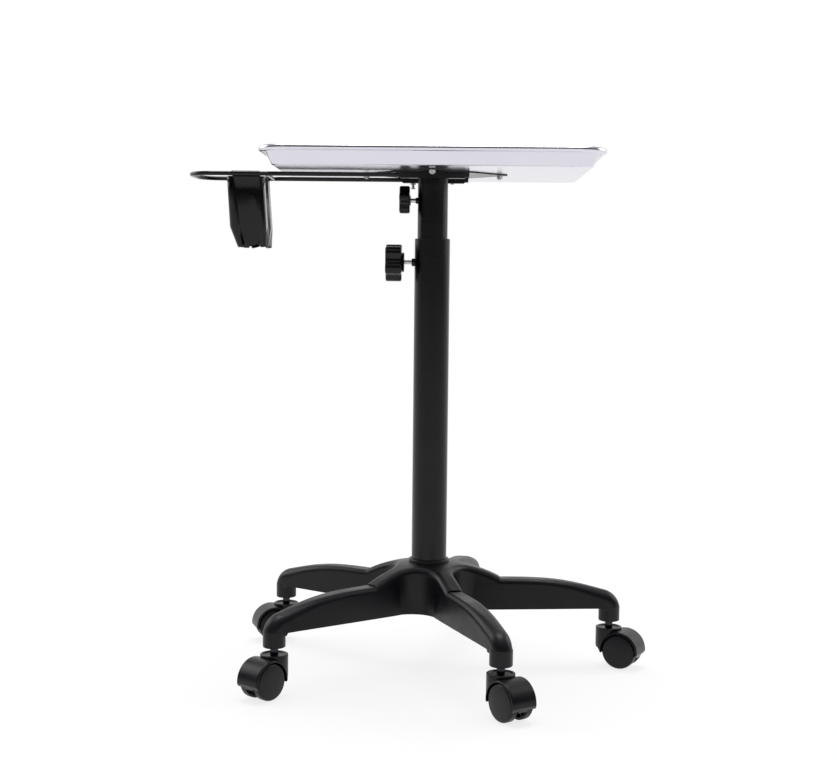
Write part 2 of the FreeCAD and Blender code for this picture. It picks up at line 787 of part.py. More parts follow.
# Tray bolts: countersunk heads flush with the tray's floor, nuts under the plate's corners.
nut_z = plate_z - tray_nut_thickness
tray_bolts = []
tray_nuts = []
for x, y in at_plate_corners(tray_bolt_reach):
    tray_bolts.append(countersunk_bolt(x, y, nut_z - tray_bolt_past_nut))
    nut = hexagon(tray_nut_across_flats, nut_z, plate_z, x, y)
    tray_nuts.append(nut.cut(cylinder(tray_bolt_diameter, nut_z - 1, plate_z + 1, x, y)))
nodes["tray_bolts"] = Part.makeCompound(tray_bolts)
nodes["tray_nuts"] = Part.makeCompound(tray_nuts)

# Holder: one bent rod makes both arms and the hoop, and a cross bar closes the hoop.
hoop_end_x = rod_diameter / 2 - holder_reach
cross_bar_x = hoop_end_x + hoop_length
bend_start_x = hoop_end_x + hoop_corner_radius
bend_y = rod_half_spacing - hoop_corner_radius
bend_slant = hoop_corner_radius * math.sqrt(0.5)
rod_end_in_cap = rod_end_x - rod_cap_wall
holder_path = Part.Wire([
    Part.LineSegment(
        Vector(rod_end_in_cap, -rod_half_spacing, rod_z), Vector(bend_start_x, -rod_half_spacing, rod_z)
    ).toShape(),
    Part.Arc(
        Vector(bend_start_x, -rod_half_spacing, rod_z),
        Vector(bend_start_x - bend_slant, -bend_y - bend_slant, rod_z),
        Vector(hoop_end_x, -bend_y, rod_z),
    ).toShape(),
    Part.LineSegment(Vector(hoop_end_x, -bend_y, rod_z), Vector(hoop_end_x, bend_y, rod_z)).toShape(),
    Part.Arc(
        Vector(hoop_end_x, bend_y, rod_z),
        Vector(bend_start_x - bend_slant, bend_y + bend_slant, rod_z),
        Vector(bend_start_x, rod_half_spacing, rod_z),
    ).toShape(),
    Part.LineSegment(
        Vector(bend_start_x, rod_half_spacing, rod_z), Vector(rod_end_in_cap, rod_half_spacing, rod_z)
    ).toShape(),
])
rod_section = Part.Wire(
    Part.makeCircle(rod_diameter / 2, Vector(rod_end_in_cap, -rod_half_spacing, rod_z), X_AXIS)
)
holder_rod = holder_path.makePipeShell([rod_section], True, False)
rod_tenon = rod_diameter - 2 * rod_cap_wall
tips = []
caps = []
for side in (-1, 1):
    y = side * rod_half_spacing
    cap_start = rod_end_x - rod_cap_length
    tips.append(
        bar_along_x(rod_diameter + 1, cap_start, rod_end_x + 1, y, rod_z).cut(
            bar_along_x(rod_tenon, cap_start - 1, rod_end_x + 2, y, rod_z)
        )
    )
    cap = bar_along_x(rod_diameter, cap_start, rod_end_x, y, rod_z)
    caps.append(cap.cut(bar_along_x(rod_tenon, cap_start - 1, rod_end_in_cap, y, rod_z)))
nodes["holder_rod"] = holder_rod.cut(tips)
nodes["rod_end_caps"] = Part.makeCompound(caps)
cross_bar = Part.makeCylinder(
    cross_bar_diameter / 2, 2 * rod_half_spacing, Vector(cross_bar_x, -rod_half_spacing, rod_z), Y_AXIS
)
nodes["hoop_cross_bar"] = cross_bar.cut(holder_rod)

# Holster: a thin moulded sleeve, open at both ends, hung from the hoop by a lip on each side.
holster_top_z = rod_z - holster_top_drop
holster_foot_z = holster_top_z - holster_height
holster_right_x = cross_bar_x - rod_diameter / 2 - holster_from_bar


def holster_form(inset, reach_past_ends):
    """The sleeve's form as a solid, leaning a little to the right on its way down."""
    bulge_z = holster_top_z - holster_height * holster_bulge_share
    stations = (
        (holster_top_z, holster_top_length, holster_top_half_width, holster_top_lean),
        (bulge_z, holster_mid_length, holster_mid_half_width, holster_mid_lean),
        (holster_foot_z, holster_foot_length, holster_foot_half_width, holster_foot_lean),
    )
    outlines = []
    for z, length, half_width, lean in stations:
        x = holster_right_x + lean - length / 2
        outlines.append(rounded_rectangle(
            length - 2 * inset, 2 * half_width - 2 * inset, holster_corner - inset, z, x
        ))
    form = Part.makeLoft(outlines, True, True)
    if reach_past_ends:
        for outline, step in ((outlines[0], 2), (outlines[-1], -2)):
            form = form.fuse(Part.Face(outline).extrude(Vector(0, 0, step)))
    return form


sleeve = holster_form(0, False).cut(holster_form(holster_wall, True))
notch_top_z = holster_foot_z + holster_notch_height
notch_low_z = holster_foot_z - 1
foot_middle_x = holster_right_x + holster_foot_lean - holster_foot_length / 2
wide_notch = polygon([
    Vector(foot_middle_x - holster_notch_width / 2, -holster_top_half_width, notch_low_z),
    Vector(foot_middle_x, -holster_top_half_width, notch_top_z),
    Vector(foot_middle_x + holster_notch_width / 2, -holster_top_half_width, notch_low_z),
]).extrude(Vector(0, 2 * holster_top_half_width, 0))
side_notch = polygon([
    Vector(foot_middle_x - holster_foot_length, -holster_notch_width / 2, notch_low_z),
    Vector(foot_middle_x - holster_foot_length, 0, notch_top_z),
    Vector(foot_middle_x - holster_foot_length, holster_notch_width / 2, notch_low_z),
]).extrude(Vector(2 * holster_foot_length, 0, 0))
sleeve = sleeve.cut(wide_notch).cut(side_notch)


def holster_lip(side):
    """A strip from the sleeve's top that hooks over the rod on one side."""
    middle_x = holster_right_x - holster_top_length / 2
    start_x = middle_x - holster_lip_length / 2
    wall_y = side * (holster_top_half_width - holster_wall)
    rod_y = side * rod_half_spacing
    lip_y = side * (rod_half_spacing - rod_diameter / 2 - holster_lip_thickness)
    strip = polygon([
        Vector(start_x, wall_y, holster_top_z),
        Vector(start_x, wall_y, holster_top_z - holster_lip_thickness),
        Vector(start_x, lip_y + side * holster_lip_thickness, rod_z - holster_lip_thickness),
        Vector(start_x, lip_y + side * holster_lip_thickness, rod_z),
        Vector(start_x, lip_y, rod_z),
    ]).extrude(Vector(holster_lip_length, 0, 0))
    end_x = start_x + holster_lip_length
    hook = bar_along_x(rod_diameter + 2 * holster_lip_thickness, start_x, end_x, rod_y, rod_z)
    below = Part.makeBox(
        holster_lip_length + 2,
        4 * rod_diameter,
        2 * rod_diameter,
        Vector(start_x - 1, rod_y - 2 * rod_diameter, rod_z - 2 * rod_diameter),
    )
    lip = hook.cut(below).fuse(strip)
    return lip.cut(bar_along_x(rod_diameter, start_x - 1, end_x + 1, rod_y, rod_z))


nodes["holster"] = fuse_all([sleeve, holster_lip(-1), holster_lip(1)])

# Caster, built with its stem on the Z axis and its trail along X.
wheel_r = wheel_diameter / 2
hood_r = wheel_r + wheel_well_gap + hood_wall
hood_half = hood_width / 2
wheel_inner_y = web_thickness / 2 + wheel_side_gap
wheel_outer_y = wheel_inner_y + wheel_width


def make_caster_housing():
    """Hood, web and turret as one moulding, open at both sides for the wheels."""
    hood = Part.makeCylinder(hood_r, hood_width, Vector(caster_trail, -hood_half, axle_z), Y_AXIS)
    hood_edges = edges_where(hood, lambda p: abs(abs(p.y) - hood_half) < 0.01)
    hood = hood.makeFillet(hood_edge_radius, hood_edges)
    cap_z = caster_height - turret_cap_thickness
    groove_z = cap_z - turret_groove_height
    turret = cylinder(turret_diameter, 0, groove_z)
    front_x = -turret_diameter / 2
    past_x = caster_trail + hood_r + 1
    skirt_bend = turret_diameter / 5
    skirt_mid = skirt_bend * (1 - math.sqrt(0.5))

    def at(x, z):
        return Vector(x, -hood_width, z)

    corners = [
        at(front_x + skirt_bend, turret_skirt_height),
        at(0, hood_hem_height),
        at(caster_trail + hood_r - 2 * hood_wall, hood_hem_height),
        at(past_x, axle_z),
        at(past_x, caster_height),
        at(front_x, caster_height),
        at(front_x, turret_skirt_height + skirt_bend),
    ]
    skirt_middle = at(front_x + skirt_mid, turret_skirt_height + skirt_mid)
    keep = [Part.LineSegment(a, b).toShape() for a, b in zip(corners, corners[1:])]
    keep.append(Part.Arc(corners[-1], skirt_middle, corners[0]).toShape())
    kept = Part.Face(Part.Wire(keep)).extrude(Vector(0, 2 * hood_width, 0))
    body = fuse_all([hood, turret]).common(kept)
    neck = cylinder(turret_diameter - 2 * turret_groove_depth, groove_z - 1, cap_z + 1)
    cap = cylinder(turret_diameter, cap_z, caster_height)
    cap = cap.makeFillet(turret_cap_edge_radius, edges_where(cap, lambda p: p.z > caster_height - 0.01))
    body = fuse_all([body, neck, cap])
    dish_top = turret_diameter - 2 * turret_dish_rim
    dish = Part.makeCone(
        dish_top / 2 - turret_dish_depth,
        dish_top / 2 + 0.1,
        turret_dish_depth + 0.1,
        Vector(0, 0, caster_height - turret_dish_depth),
        Z_AXIS,
    )
    body = body.cut(dish)
    well_r = wheel_r + wheel_well_gap
    for start_y in (-hood_half - 1, web_thickness / 2):
        well = Part.makeCylinder(
            well_r, hood_half + 1 - web_thickness / 2, Vector(caster_trail, start_y, axle_z), Y_AXIS
        )
        body = body.cut(well)
    body = body.cut(cylinder(stem_diameter, caster_height - stem_seat_depth, caster_height + 1))
    axle_hole = Part.makeCylinder(
        axle_diameter / 2, web_thickness + 2, Vector(caster_trail, -web_thickness / 2 - 1, axle_z), Y_AXIS
    )
    return body.cut(axle_hole)


def make_wheel():
    """The right-hand wheel: a domed disc with rim, hub and ribs, hollow towards the web."""
    bore_r = axle_diameter / 2 + running_gap
    hub_r = wheel_hub_diameter / 2
    cap_r = wheel_cap_diameter / 2
    inner_y = wheel_inner_y
    disc_y = wheel_outer_y - wheel_disc_wall
    rim_r = wheel_r - wheel_rim_wall
    edge = wheel_edge_radius
    edge_mid = edge * (1 - math.sqrt(0.5))
    axle_end_y = wheel_outer_y - axle_end_cover + running_gap

    def at(r, y):
        return Vector(r, y, 0)

    edge_start = at(wheel_r, wheel_outer_y - edge)
    edge_end = at(wheel_r - edge, wheel_outer_y)
    cap_edge = at(cap_r, wheel_outer_y + wheel_dome)
    inside = [
        cap_edge,
        at(0, wheel_outer_y + wheel_dome),
        at(0, axle_end_y),
        at(bore_r, axle_end_y),
        at(bore_r, inner_y),
        at(hub_r, inner_y),
        at(hub_r, disc_y),
        at(rim_r, disc_y),
        at(rim_r, inner_y),
        at(wheel_r - wheel_inner_chamfer, inner_y),
        at(wheel_r, inner_y + wheel_inner_chamfer),
        edge_start,
    ]
    edge_middle = at(wheel_r - edge_mid, wheel_outer_y - edge_mid)
    dome_middle = at((wheel_r - edge + cap_r) / 2, wheel_outer_y + wheel_dome * wheel_dome_fullness)
    outline = [Part.LineSegment(a, b).toShape() for a, b in zip(inside, inside[1:])]
    outline.append(Part.Arc(edge_start, edge_middle, edge_end).toShape())
    outline.append(Part.Arc(edge_end, dome_middle, cap_edge).toShape())
    wheel = Part.Face(Part.Wire(outline)).revolve(ORIGIN, Y_AXIS, 360)
    rib_length = rim_r - hub_r + 1
    rib = Part.makeBox(
        rib_length,
        disc_y - inner_y,
        wheel_rib_thickness,
        Vector(hub_r - 0.5, inner_y + 1, -wheel_rib_thickness / 2),
    )
    ribs = []
    for number in range(wheel_rib_count):
        copy = rib.copy()
        copy.rotate(ORIGIN, Y_AXIS, 360 / wheel_rib_count * number)
        ribs.append(copy)
    return moved(fuse_all([wheel] + ribs), caster_trail, 0, axle_z)


def make_stem():
    """A round stem with a groove near its tip for the grip ring."""
    tip_z = socket_bottom_z + stem_insertion
    stem = cylinder(stem_diameter, caster_height - stem_seat_depth, tip_z)
    tip_edge = edges_where(stem, lambda p: p.z > tip_z - 0.01)
    stem = stem.makeChamfer(1.0, tip_edge)
    groove_top = tip_z - stem_groove_below_tip
    groove = tube(
        stem_diameter + 2,
        stem_diameter - 2 * stem_groove_depth,
        groove_top - stem_groove_height,
        groove_top,
    )
    return stem.cut(groove)


def make_grip_ring():
    """A split spring ring that lies in the stem's groove and bears on the sleeve."""
    top = socket_bottom_z + stem_insertion - stem_groove_below_tip - seat_gap
    low = top - stem_groove_height + 2 * seat_gap
    inner = stem_diameter - 2 * stem_groove_depth + 2 * running_gap
    outer = stem_diameter + 2 * running_gap
    ring = tube(outer, inner, low, top)
    split = Part.makeBox(
        stem_diameter, grip_ring_split, stem_groove_height + 2, Vector(0, -grip_ring_split / 2, low - 1)
    )
    return ring.cut(split)


def make_stem_sleeve():
    """A flanged steel sleeve pressed into the socket."""
    inner = stem_diameter + 2 * running_gap
    outer = inner + 2 * sleeve_wall
    flange_z = socket_bottom_z - sleeve_flange_thickness
    top_z = socket_bottom_z + stem_insertion + 1
    body = cylinder(outer, socket_bottom_z, top_z)
    flange = cylinder(sleeve_flange_diameter, flange_z, socket_bottom_z)
    return fuse_all([body, flange]).cut(cylinder(inner, flange_z - 1, top_z + 1))


housing = make_caster_housing()
right_wheel = make_wheel()
left_wheel = right_wheel.mirror(ORIGIN, Y_AXIS)
stem = make_stem()
axle_half = wheel_outer_y - axle_end_cover
axle = Part.makeCylinder(
    axle_diameter / 2, 2 * axle_half, Vector(caster_trail, -axle_half, axle_z), Y_AXIS
)
ring = make_grip_ring()
sleeve_tube = make_stem_sleeve()
rings = []
sleeves = []
for number in range(leg_count):
    angle = first_leg_angle + 360 / leg_count * number
    foot_x = base_radius * math.cos(math.radians(angle))
    foot_y = base_radius * math.sin(math.radians(angle))
    heading = caster_headings[number]
    name = "caster_%d_" % (number + 1)
    for piece, shape in (
        ("housing", housing), ("stem", stem), ("axle", axle),
        ("left_wheel", left_wheel), ("right_wheel", right_wheel),
    ):
        nodes[name + piece] = moved(turned(shape, heading), foot_x, foot_y, 0)
    rings.append(moved(turned(ring, heading), foot_x, foot_y, 0))
    sleeves.append(moved(sleeve_tube, foot_x, foot_y, 0))
    print("caster", number + 1, "stem", round(foot_x, 3), round(foot_y, 3), "heading", heading)
nodes["grip_rings"] = Part.makeCompound(rings)
nodes["stem_sleeves"] = Part.makeCompound(sleeves)

# Move everything so that the origin is on the floor under the middle of the table.
whole = Part.makeCompound(list(nodes.values())).optimalBoundingBox(False, False)
shift = Vector(-(whole.XMin + whole.XMax) / 2, -(whole.YMin + whole.YMax) / 2, 0)
print("post axis at", round(shift.x, 4), round(shift.y, 4))
print("size", round(whole.XLength, 3), round(whole.YLength, 3), round(whole.ZLength, 3))
print("tray underside", round(tray_z, 3), "rod", round(rod_z, 3), "knobs", lower_knob_z, upper_knob_z)
for name, shape in nodes.items():
    shape = moved(shape, shift.x, shift.y, 0)
    shape.exportStep("parts/" + name + ".step")
    print(name, "solids", len(shape.Solids), "valid", shape.isValid(), "volume", round(shape.Volume, 1))
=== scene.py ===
import bmesh
import bpy
import math
from mathutils import Matrix, Vector


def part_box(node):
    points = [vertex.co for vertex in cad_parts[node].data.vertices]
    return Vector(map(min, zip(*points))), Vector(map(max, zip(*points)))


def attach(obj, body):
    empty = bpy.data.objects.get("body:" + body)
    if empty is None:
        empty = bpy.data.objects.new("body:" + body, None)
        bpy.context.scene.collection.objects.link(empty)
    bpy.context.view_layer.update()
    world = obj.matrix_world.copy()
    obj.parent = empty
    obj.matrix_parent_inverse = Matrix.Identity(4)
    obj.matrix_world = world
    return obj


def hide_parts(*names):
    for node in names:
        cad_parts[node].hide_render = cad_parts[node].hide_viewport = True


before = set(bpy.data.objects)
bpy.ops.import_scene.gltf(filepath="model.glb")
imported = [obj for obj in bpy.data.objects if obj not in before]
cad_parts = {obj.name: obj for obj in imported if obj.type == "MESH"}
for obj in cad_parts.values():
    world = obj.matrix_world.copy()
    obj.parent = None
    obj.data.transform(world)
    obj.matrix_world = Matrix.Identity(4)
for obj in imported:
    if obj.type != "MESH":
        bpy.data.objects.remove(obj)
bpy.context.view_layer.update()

# Star base: one piece of glass-filled nylon, injection moulded, with a domed hub and five legs
# that bend down into the caster sockets. The mould's spark-eroded skin leaves a fine, even grain
# that turns every highlight soft, and the flow of the plastic changes its shine a little.


def linear(colour):
    """An sRGB hex colour as linear RGBA."""
    parts = [int(colour[start:start + 2], 16) / 255 for start in (1, 3, 5)]
    return [p / 12.92 if p <= 0.04045 else ((p + 0.055) / 1.055) ** 2.4 for p in parts] + [1.0]


def add_node(finish, kind, settings, links):
    """Add a node, set its properties and plain inputs, and link its other inputs."""
    node = finish.node_tree.nodes.new(kind)
    for name, value in settings.items():
        if isinstance(name, str) and hasattr(node, name):
            setattr(node, name, value)
        else:
            node.inputs[name].default_value = value
    for name, source in links.items():
        finish.node_tree.links.new(source, node.inputs[name])
    return node


def start_finish(name):
    """A new material with its surface shader and the piece's own coordinates."""
    finish = bpy.data.materials.new(name)
    finish.use_nodes = True
    shader = finish.node_tree.nodes["Principled BSDF"]
    place = add_node(finish, "ShaderNodeTexCoord", {}, {}).outputs["Object"]
    return finish, shader, place


def moulded_plastic(name, dark, light, smooth, rough, grain_mm):
    """Moulded plastic: two near shades, a shine that drifts, and a grain of a real size."""
    finish, shader, place = start_finish(name)
    flow = add_node(finish, "ShaderNodeTexNoise",
                    {"Scale": 24.0, "Detail": 5.0, "Distortion": 0.8}, {"Vector": place})
    grain = add_node(finish, "ShaderNodeTexNoise",
                     {"Scale": 1000 / grain_mm, "Detail": 3.0, "Roughness": 0.6}, {"Vector": place})
    shade = add_node(finish, "ShaderNodeMix", {"data_type": "RGBA", 6: linear(dark), 7: linear(light)},
                     {0: flow.outputs[0]})
    shine = add_node(finish, "ShaderNodeMapRange",
                     {"From Min": 0.3, "From Max": 0.7, "To Min": smooth, "To Max": rough},
                     {"Value": flow.outputs[0]})
    skin = add_node(finish, "ShaderNodeBump", {"Strength": 0.3, "Distance": 0.00025},
                    {"Height": grain.outputs[0]})
    finish.node_tree.links.new(shade.outputs[2], shader.inputs["Base Color"])
    finish.node_tree.links.new(shine.outputs[0], shader.inputs["Roughness"])
    finish.node_tree.links.new(skin.outputs[0], shader.inputs["Normal"])
    shader.inputs["Specular IOR Level"].default_value = 0.3
    return finish


def dress(finish, slot, *names):
    """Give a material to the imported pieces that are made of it."""
    for name in names:
        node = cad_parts[name]
        node.data.materials.clear()
        node.data.materials.append(finish)


# The real grain is about 0.1 mm; it is drawn at 1.5 mm so that it shows.
base_nylon = moulded_plastic("moulded_glass_filled_nylon", "#0a0a0e", "#111117", 0.32, 0.44, 1.5)
dress(base_nylon, "moulded_nylon", "star_base", "base_collar")

# Casters: nylon hoods over pairs of nylon wheels, each moulded in one piece. The hoods come from
# a polished mould and are a little glossier than the wheels, which are dulled by the floor.
hood_nylon = moulded_plastic("moulded_caster_nylon", "#09090d", "#0f0f15", 0.28, 0.4, 1.2)
wheel_nylon = moulded_plastic("moulded_wheel_nylon", "#0a0a0e", "#111118", 0.3, 0.44, 1.2)
for number in range(1, 6):
    caster = "caster_%d_" % number
    dress(hood_nylon, "caster_nylon", caster + "housing")
    dress(wheel_nylon, "wheel_nylon", caster + "left_wheel", caster + "right_wheel")

# Post: drawn steel tubes, welded bosses and a folded steel head, all powder coated satin black.
# The cured powder leaves a fine orange peel that breaks up reflections.


def powder_coat(name, dark, light, smooth, rough, peel_mm):
    """Powder coat on steel: a flowed skin with an orange peel of a real size."""
    finish, shader, place = start_finish(name)
    peel = add_node(finish, "ShaderNodeTexNoise",
                    {"Scale": 1000 / peel_mm, "Detail": 1.5, "Roughness": 0.4}, {"Vector": place})
    batch = add_node(finish, "ShaderNodeTexNoise", {"Scale": 14.0, "Detail": 4.0}, {"Vector": place})
    shade = add_node(finish, "ShaderNodeMix", {"data_type": "RGBA", 6: linear(dark), 7: linear(light)},
                     {0: batch.outputs[0]})
    shine = add_node(finish, "ShaderNodeMapRange",
                     {"From Min": 0.3, "From Max": 0.7, "To Min": smooth, "To Max": rough},
                     {"Value": batch.outputs[0]})
    skin = add_node(finish, "ShaderNodeBump", {"Strength": 0.2, "Distance": 0.0003},
                    {"Height": peel.outputs[0]})
    finish.node_tree.links.new(shade.outputs[2], shader.inputs["Base Color"])
    finish.node_tree.links.new(shine.outputs[0], shader.inputs["Roughness"])
    finish.node_tree.links.new(skin.outputs[0], shader.inputs["Normal"])
    shader.inputs["Specular IOR Level"].default_value = 0.3
    return finish


satin_coat = powder_coat("satin_black_powder_coat", "#060609", "#0b0b11", 0.22, 0.32, 2.0)
dress(satin_coat, "powder_coated_steel", "outer_tube", "inner_tube", "lower_clamp_boss",
      "upper_clamp_boss", "head_spigot", "tray_plate", "near_rod_channel", "far_rod_channel")
plain_plastic = moulded_plastic("moulded_acetal", "#0a0a0c", "#0f0f11", 0.4, 0.5, 1.0)
dress(plain_plastic, "plain_black_plastic", "guide_bush", "inner_tube_glide", "rod_end_caps")

# Screws, studs, stems and small fittings: turned steel with bright zinc plating, which has a
# faint cloudy change of tint and shine.
bright_zinc, zinc_shader, zinc_place = start_finish("bright_zinc_plating")
zinc_cloud = add_node(bright_zinc, "ShaderNodeTexNoise", {"Scale": 260.0, "Detail": 3.0},
                      {"Vector": zinc_place})
zinc_shade = add_node(bright_zinc, "ShaderNodeMix",
                      {"data_type": "RGBA", 6: linear("#b9b9be"), 7: linear("#d6d5d2")},
                      {0: zinc_cloud.outputs[0]})
zinc_shine = add_node(bright_zinc, "ShaderNodeMapRange", {"To Min": 0.2, "To Max": 0.38},
                      {"Value": zinc_cloud.outputs[0]})
bright_zinc.node_tree.links.new(zinc_shade.outputs[2], zinc_shader.inputs["Base Color"])
bright_zinc.node_tree.links.new(zinc_shine.outputs[0], zinc_shader.inputs["Roughness"])
zinc_shader.inputs["Metallic"].default_value = 1.0
dress(bright_zinc, "zinc_plated_steel", "tube_foot_plug", "base_washer", "base_bolt", "clamp_nut",
      "clamp_screw", "guide_screw", "tray_bolts", "tray_nuts", "lower_stud", "upper_stud", "rim_wire")
for number in range(1, 6):
    dress(bright_zinc, "zinc_plated_steel", "caster_%d_axle" % number)

# Caster stems and their sleeves: turned steel, zinc plated and then dipped in black chromate. The
# thin black film stays as glossy as the plating below it, so it takes small sharp highlights.
black_zinc, stem_shader, stem_place = start_finish("black_chromated_zinc")
stem_cloud = add_node(black_zinc, "ShaderNodeTexNoise", {"Scale": 300.0, "Detail": 3.0},
                      {"Vector": stem_place})
stem_shade = add_node(black_zinc, "ShaderNodeMix",
                      {"data_type": "RGBA", 6: linear("#2b2b31"), 7: linear("#3d3d45")},
                      {0: stem_cloud.outputs[0]})
stem_shine = add_node(black_zinc, "ShaderNodeMapRange", {"To Min": 0.14, "To Max": 0.26},
                      {"Value": stem_cloud.outputs[0]})
black_zinc.node_tree.links.new(stem_shade.outputs[2], stem_shader.inputs["Base Color"])
black_zinc.node_tree.links.new(stem_shine.outputs[0], stem_shader.inputs["Roughness"])
stem_shader.inputs["Metallic"].default_value = 1.0
dress(black_zinc, "zinc_plated_steel", "grip_rings", "stem_sleeves")
for number in range(1, 6):
    dress(black_zinc, "zinc_plated_steel", "caster_%d_stem" % number)

# Clamp knobs: five-lobed knobs of moulded phenolic on steel studs, with a satin skin.
knob_phenolic = moulded_plastic("moulded_phenolic", "#07070a", "#0d0d12", 0.2, 0.32, 1.2)
dress(knob_phenolic, "knob_plastic", "lower_knob", "upper_knob")


def smooth_copy(name, node_name, body, crease):
    """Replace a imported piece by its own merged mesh, with its curves shaded as curves."""
    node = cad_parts[node_name]
    copy = bpy.data.objects.new(name, node.data.copy())
    bpy.context.scene.collection.objects.link(copy)
    bpy.ops.object.select_all(action="DESELECT")
    bpy.context.view_layer.objects.active = copy
    copy.select_set(True)
    bpy.ops.object.mode_set(mode="EDIT")
    bpy.ops.mesh.select_all(action="SELECT")
    bpy.ops.mesh.remove_doubles(threshold=0.000005)
    bpy.ops.object.mode_set(mode="OBJECT")
    bpy.ops.object.shade_smooth_by_angle(angle=math.radians(crease))
    flat_faces = copy.modifiers.new("flat_faces", "WEIGHTED_NORMAL")
    flat_faces.keep_sharp = True
    bpy.ops.object.modifier_apply(modifier=flat_faces.name)
    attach(copy, body)
    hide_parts(node_name)
    return copy


knob_crease = 40
smooth_copy("knob_below", "lower_knob", "lower_clamp", knob_crease)
smooth_copy("knob_above", "upper_knob", "upper_clamp", knob_crease)

# Tray: pressed from rolled aluminium sheet, with its rim rolled over a wire. The rolls leave a
# fine grain along the sheet, and handling leaves faint cloudy marks.
tray_aluminium, tray_shader, tray_place = start_finish("rolled_aluminium_sheet")
along = add_node(tray_aluminium, "ShaderNodeMapping", {"Scale": (6.0, 220.0, 220.0)},
                 {"Vector": tray_place})
roll_lines = add_node(tray_aluminium, "ShaderNodeTexNoise", {"Scale": 1.0, "Detail": 4.0},
                      {"Vector": along.outputs[0]})
clouds = add_node(tray_aluminium, "ShaderNodeTexNoise",
                  {"Scale": 9.0, "Detail": 5.0, "Distortion": 1.0}, {"Vector": tray_place})
tray_shade = add_node(tray_aluminium, "ShaderNodeMix",
                      {"data_type": "RGBA", 6: linear("#d6d4de"), 7: linear("#e2e0e9")},
                      {0: clouds.outputs[0]})
tray_shine = add_node(tray_aluminium, "ShaderNodeMapRange", {"To Min": 0.14, "To Max": 0.26},
                      {"Value": clouds.outputs[0]})
roll_bump = add_node(tray_aluminium, "ShaderNodeBump", {"Strength": 0.12, "Distance": 0.00005},
                     {"Height": roll_lines.outputs[0]})
tray_aluminium.node_tree.links.new(tray_shade.outputs[2], tray_shader.inputs["Base Color"])
tray_aluminium.node_tree.links.new(tray_shine.outputs[0], tray_shader.inputs["Roughness"])
tray_aluminium.node_tree.links.new(roll_bump.outputs[0], tray_shader.inputs["Normal"])
tray_shader.inputs["Metallic"].default_value = 1.0
dress(tray_aluminium, "tray_aluminium", "tray")

tray_crease = 62
smooth_copy("tray_pan", "tray", "head", tray_crease)

# Holder: a bent steel rod and a welded cross bar, coated gloss black.
gloss_coat = powder_coat("gloss_black_powder_coat", "#050507", "#09090b", 0.14, 0.22, 2.5)
dress(gloss_coat, "gloss_coated_rod", "holder_rod", "hoop_cross_bar")

# Holster: a sleeve of glossy polypropylene, moulded with a gusset down its right side and folded
# fingers round its mouth below, so that it grips tools of any size. Two lips hook over the rods.


def pick(kind, test):
    """In edit mode, select only the vertices, edges or faces that pass a test."""
    bpy.ops.mesh.select_mode(type=kind)
    bpy.ops.mesh.select_all(action="DESELECT")
    mesh = bmesh.from_edit_mesh(bpy.context.edit_object.data)
    for part in {"VERT": mesh.verts, "EDGE": mesh.edges, "FACE": mesh.faces}[kind]:
        if test(part):
            part.select_set(True)
    mesh.select_flush_mode()
    bmesh.update_edit_mesh(bpy.context.edit_object.data)


def middle(part):
    """The middle of an edge or a face."""
    return sum((v.co for v in part.verts), Vector()) / len(part.verts)


def apply_modifiers(piece):
    """Apply a piece's modifiers from the top down."""
    for modifier in list(piece.modifiers):
        bpy.ops.object.modifier_apply(modifier=modifier.name)


sleeve_left, sleeve_right = -0.26985, -0.22185
sleeve_top, sleeve_fold, sleeve_foot = 0.6896, 0.6205, 0.5932
sleeve_half = 0.038
sleeve_wall = 0.0014
hoop_low, hoop_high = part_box("holder_rod")
sleeve_y = (hoop_low.y + hoop_high.y) / 2
sleeve_x = (sleeve_left + sleeve_right) / 2
sleeve_length = sleeve_right - sleeve_left
bpy.ops.object.select_all(action="DESELECT")
bpy.ops.mesh.primitive_cube_add(
    size=1.0, location=(sleeve_x, sleeve_y, (sleeve_top + sleeve_foot) / 2))
holster = bpy.context.active_object
holster.name = "holster_sleeve"
holster.scale = (sleeve_length, 2 * sleeve_half, sleeve_top - sleeve_foot)
bpy.ops.object.transform_apply(location=True, rotation=True, scale=True)
bpy.ops.object.mode_set(mode="EDIT")
pick("EDGE", lambda e: abs(e.verts[0].co.z - e.verts[1].co.z) > 0.05 and middle(e).x < sleeve_x)
bpy.ops.mesh.bevel(offset=0.008, segments=8)
pick("EDGE", lambda e: (abs(e.verts[0].co.z - e.verts[1].co.z) > 0.05
                        and middle(e).x > sleeve_right - 0.001))
bpy.ops.mesh.bevel(offset=0.0018, segments=2)
pick("FACE", lambda f: abs(f.normal.z) > 0.9)
bpy.ops.mesh.delete(type="FACE")
for height in (sleeve_fold, sleeve_foot + 0.001, sleeve_top - 0.02):
    bpy.ops.mesh.select_all(action="SELECT")
    bpy.ops.mesh.bisect(plane_co=(0.0, 0.0, height), plane_no=(0.0, 0.0, 1.0))
for share in (0.235, 0.31, 0.53, 0.73, 0.86):
    bpy.ops.mesh.select_all(action="SELECT")
    bpy.ops.mesh.bisect(plane_co=(sleeve_left + share * sleeve_length, 0.0, 0.0), plane_no=(1.0, 0.0, 0.0))
for share in (-0.62, -0.42, 0.3, 0.42, 0.62):
    bpy.ops.mesh.select_all(action="SELECT")
    bpy.ops.mesh.bisect(plane_co=(0.0, sleeve_y + share * sleeve_half, 0.0), plane_no=(0.0, 1.0, 0.0))

